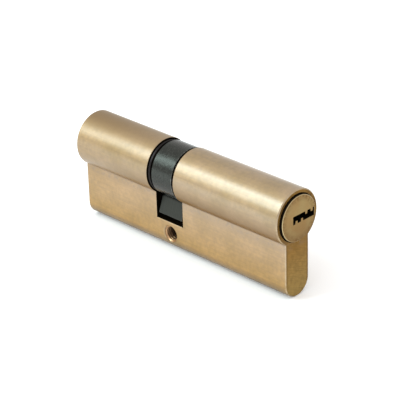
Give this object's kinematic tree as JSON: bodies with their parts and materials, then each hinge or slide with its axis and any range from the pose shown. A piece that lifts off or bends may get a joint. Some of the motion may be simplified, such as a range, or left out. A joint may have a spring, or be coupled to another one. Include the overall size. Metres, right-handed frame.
{
  "type": "double profile lock cylinder",
  "caption": "Double lock cylinder of the keyhole-shaped European profile, keyed at both ends, with a bolt-throwing cam between the halves and a tapped fixing hole below it.",
  "frame": {"origin": "where the barrel's axis crosses the middle of the cam slot, straight above the fixing hole", "axes": "+X along the barrel towards the longer half, +Z from the web up to the barrel, +Y completes a right-handed frame"},
  "size_m": [0.0816, 0.0168, 0.033],
  "materials": {
    "housing_brass": "satin drawn",
    "plug_brass": "satin turned",
    "pin_brass": "bright turned",
    "cam_steel": "sintered, oiled",
    "clutch_steel": "satin",
    "clip_steel": "blued",
    "pin_steel": "bright turned",
    "spring_steel": "drawn wire"
  },
  "bodies": {
    "lock_body": {"housing": "housing_brass", "chamber_cap_front_1": "housing_brass", "spring_front_1": "spring_steel", "chamber_cap_front_2": "housing_brass", "spring_front_2": "spring_steel", "chamber_cap_front_3": "housing_brass", "spring_front_3": "spring_steel", "chamber_cap_front_4": "housing_brass", "spring_front_4": "spring_steel", "chamber_cap_front_5": "housing_brass", "spring_front_5": "spring_steel", "chamber_cap_front_6": "housing_brass", "spring_front_6": "spring_steel", "chamber_cap_rear_1": "housing_brass", "spring_rear_1": "spring_steel", "chamber_cap_rear_2": "housing_brass", "spring_rear_2": "spring_steel", "chamber_cap_rear_3": "housing_brass", "spring_rear_3": "spring_steel", "chamber_cap_rear_4": "housing_brass", "spring_rear_4": "spring_steel", "chamber_cap_rear_5": "housing_brass", "spring_rear_5": "spring_steel", "chamber_cap_rear_6": "housing_brass", "spring_rear_6": "spring_steel"},
    "front_plug": {"plug_front": "plug_brass", "circlip_front": "clip_steel"},
    "rear_plug": {"plug_rear": "plug_brass", "circlip_rear": "clip_steel"},
    "cam": {"cam": "cam_steel"},
    "clutch": {"clutch": "clutch_steel"},
    "key_pin_front_1": {"key_pin_front_1": "pin_brass"},
    "driver_pin_front_1": {"driver_pin_front_1": "pin_steel"},
    "key_pin_front_2": {"key_pin_front_2": "pin_brass"},
    "driver_pin_front_2": {"driver_pin_front_2": "pin_steel"},
    "key_pin_front_3": {"key_pin_front_3": "pin_brass"},
    "driver_pin_front_3": {"driver_pin_front_3": "pin_steel"},
    "key_pin_front_4": {"key_pin_front_4": "pin_brass"},
    "driver_pin_front_4": {"driver_pin_front_4": "pin_steel"},
    "key_pin_front_5": {"key_pin_front_5": "pin_brass"},
    "driver_pin_front_5": {"driver_pin_front_5": "pin_steel"},
    "key_pin_front_6": {"key_pin_front_6": "pin_brass"},
    "driver_pin_front_6": {"driver_pin_front_6": "pin_steel"},
    "key_pin_rear_1": {"key_pin_rear_1": "pin_brass"},
    "driver_pin_rear_1": {"driver_pin_rear_1": "pin_steel"},
    "key_pin_rear_2": {"key_pin_rear_2": "pin_brass"},
    "driver_pin_rear_2": {"driver_pin_rear_2": "pin_steel"},
    "key_pin_rear_3": {"key_pin_rear_3": "pin_brass"},
    "driver_pin_rear_3": {"driver_pin_rear_3": "pin_steel"},
    "key_pin_rear_4": {"key_pin_rear_4": "pin_brass"},
    "driver_pin_rear_4": {"driver_pin_rear_4": "pin_steel"},
    "key_pin_rear_5": {"key_pin_rear_5": "pin_brass"},
    "driver_pin_rear_5": {"driver_pin_rear_5": "pin_steel"},
    "key_pin_rear_6": {"key_pin_rear_6": "pin_brass"},
    "driver_pin_rear_6": {"driver_pin_rear_6": "pin_steel"}
  },
  "joints": [
    {"name": "front_plug_turn", "type": "hinge", "parent": "lock_body", "child": "front_plug", "pos_m": [0, 0, 0], "axis": [1, 0, 0], "continuous": true},
    {"name": "rear_plug_turn", "type": "hinge", "parent": "lock_body", "child": "rear_plug", "pos_m": [0, 0, 0], "axis": [1, 0, 0], "continuous": true},
    {"name": "cam_turn", "type": "hinge", "parent": "lock_body", "child": "cam", "pos_m": [0, 0, 0], "axis": [1, 0, 0], "continuous": true},
    {"name": "clutch_shift", "type": "slide", "parent": "cam", "child": "clutch", "axis": [1, 0, 0], "range_m": [0, 0.0018]},
    {"name": "key_pin_lift_front_1", "type": "slide", "parent": "front_plug", "child": "key_pin_front_1", "axis": [0, 0, 1], "range_m": [0, 0.0011]},
    {"name": "driver_pin_press_front_1", "type": "slide", "parent": "lock_body", "child": "driver_pin_front_1", "axis": [0, 0, 1], "range_m": [-0.002, 0], "stiffness_N_per_m": 60, "springref_m": 0.003, "deforming": ["spring_front_1"]},
    {"name": "key_pin_lift_front_2", "type": "slide", "parent": "front_plug", "child": "key_pin_front_2", "axis": [0, 0, 1], "range_m": [0, 0.0014]},
    {"name": "driver_pin_press_front_2", "type": "slide", "parent": "lock_body", "child": "driver_pin_front_2", "axis": [0, 0, 1], "range_m": [-0.002, 0], "stiffness_N_per_m": 60, "springref_m": 0.003, "deforming": ["spring_front_2"]},
    {"name": "key_pin_lift_front_3", "type": "slide", "parent": "front_plug", "child": "key_pin_front_3", "axis": [0, 0, 1], "range_m": [0, 0.0005]},
    {"name": "driver_pin_press_front_3", "type": "slide", "parent": "lock_body", "child": "driver_pin_front_3", "axis": [0, 0, 1], "range_m": [-0.002, 0], "stiffness_N_per_m": 60, "springref_m": 0.003, "deforming": ["spring_front_3"]},
    {"name": "key_pin_lift_front_4", "type": "slide", "parent": "front_plug", "child": "key_pin_front_4", "axis": [0, 0, 1], "range_m": [0, 0.0008]},
    {"name": "driver_pin_press_front_4", "type": "slide", "parent": "lock_body", "child": "driver_pin_front_4", "axis": [0, 0, 1], "range_m": [-0.002, 0], "stiffness_N_per_m": 60, "springref_m": 0.003, "deforming": ["spring_front_4"]},
    {"name": "key_pin_lift_front_5", "type": "slide", "parent": "front_plug", "child": "key_pin_front_5", "axis": [0, 0, 1], "range_m": [0, 0.0014]},
    {"name": "driver_pin_press_front_5", "type": "slide", "parent": "lock_body", "child": "driver_pin_front_5", "axis": [0, 0, 1], "range_m": [-0.002, 0], "stiffness_N_per_m": 60, "springref_m": 0.003, "deforming": ["spring_front_5"]},
    {"name": "key_pin_lift_front_6", "type": "slide", "parent": "front_plug", "child": "key_pin_front_6", "axis": [0, 0, 1], "range_m": [0, 0.0011]},
    {"name": "driver_pin_press_front_6", "type": "slide", "parent": "lock_body", "child": "driver_pin_front_6", "axis": [0, 0, 1], "range_m": [-0.002, 0], "stiffness_N_per_m": 60, "springref_m": 0.003, "deforming": ["spring_front_6"]},
    {"name": "key_pin_lift_rear_1", "type": "slide", "parent": "rear_plug", "child": "key_pin_rear_1", "axis": [0, 0, 1], "range_m": [0, 0.0008]},
    {"name": "driver_pin_press_rear_1", "type": "slide", "parent": "lock_body", "child": "driver_pin_rear_1", "axis": [0, 0, 1], "range_m": [-0.002, 0], "stiffness_N_per_m": 60, "springref_m": 0.003, "deforming": ["spring_rear_1"]},
    {"name": "key_pin_lift_rear_2", "type": "slide", "parent": "rear_plug", "child": "key_pin_rear_2", "axis": [0, 0, 1], "range_m": [0, 0.0011]},
    {"name": "driver_pin_press_rear_2", "type": "slide", "parent": "lock_body", "child": "driver_pin_rear_2", "axis": [0, 0, 1], "range_m": [-0.002, 0], "stiffness_N_per_m": 60, "springref_m": 0.003, "deforming": ["spring_rear_2"]},
    {"name": "key_pin_lift_rear_3", "type": "slide", "parent": "rear_plug", "child": "key_pin_rear_3", "axis": [0, 0, 1], "range_m": [0, 0.0014]},
    {"name": "driver_pin_press_rear_3", "type": "slide", "parent": "lock_body", "child": "driver_pin_rear_3", "axis": [0, 0, 1], "range_m": [-0.002, 0], "stiffness_N_per_m": 60, "springref_m": 0.003, "deforming": ["spring_rear_3"]},
    {"name": "key_pin_lift_rear_4", "type": "slide", "parent": "rear_plug", "child": "key_pin_rear_4", "axis": [0, 0, 1], "range_m": [0, 0.0005]},
    {"name": "driver_pin_press_rear_4", "type": "slide", "parent": "lock_body", "child": "driver_pin_rear_4", "axis": [0, 0, 1], "range_m": [-0.002, 0], "stiffness_N_per_m": 60, "springref_m": 0.003, "deforming": ["spring_rear_4"]},
    {"name": "key_pin_lift_rear_5", "type": "slide", "parent": "rear_plug", "child": "key_pin_rear_5", "axis": [0, 0, 1], "range_m": [0, 0.0011]},
    {"name": "driver_pin_press_rear_5", "type": "slide", "parent": "lock_body", "child": "driver_pin_rear_5", "axis": [0, 0, 1], "range_m": [-0.002, 0], "stiffness_N_per_m": 60, "springref_m": 0.003, "deforming": ["spring_rear_5"]},
    {"name": "key_pin_lift_rear_6", "type": "slide", "parent": "rear_plug", "child": "key_pin_rear_6", "axis": [0, 0, 1], "range_m": [0, 0.0008]},
    {"name": "driver_pin_press_rear_6", "type": "slide", "parent": "lock_body", "child": "driver_pin_rear_6", "axis": [0, 0, 1], "range_m": [-0.002, 0], "stiffness_N_per_m": 60, "springref_m": 0.003, "deforming": ["spring_rear_6"]}
  ],
  "couplings": [
    {"joint": "cam_turn", "follows": "front_plug_turn", "ratio": 1}
  ]
}
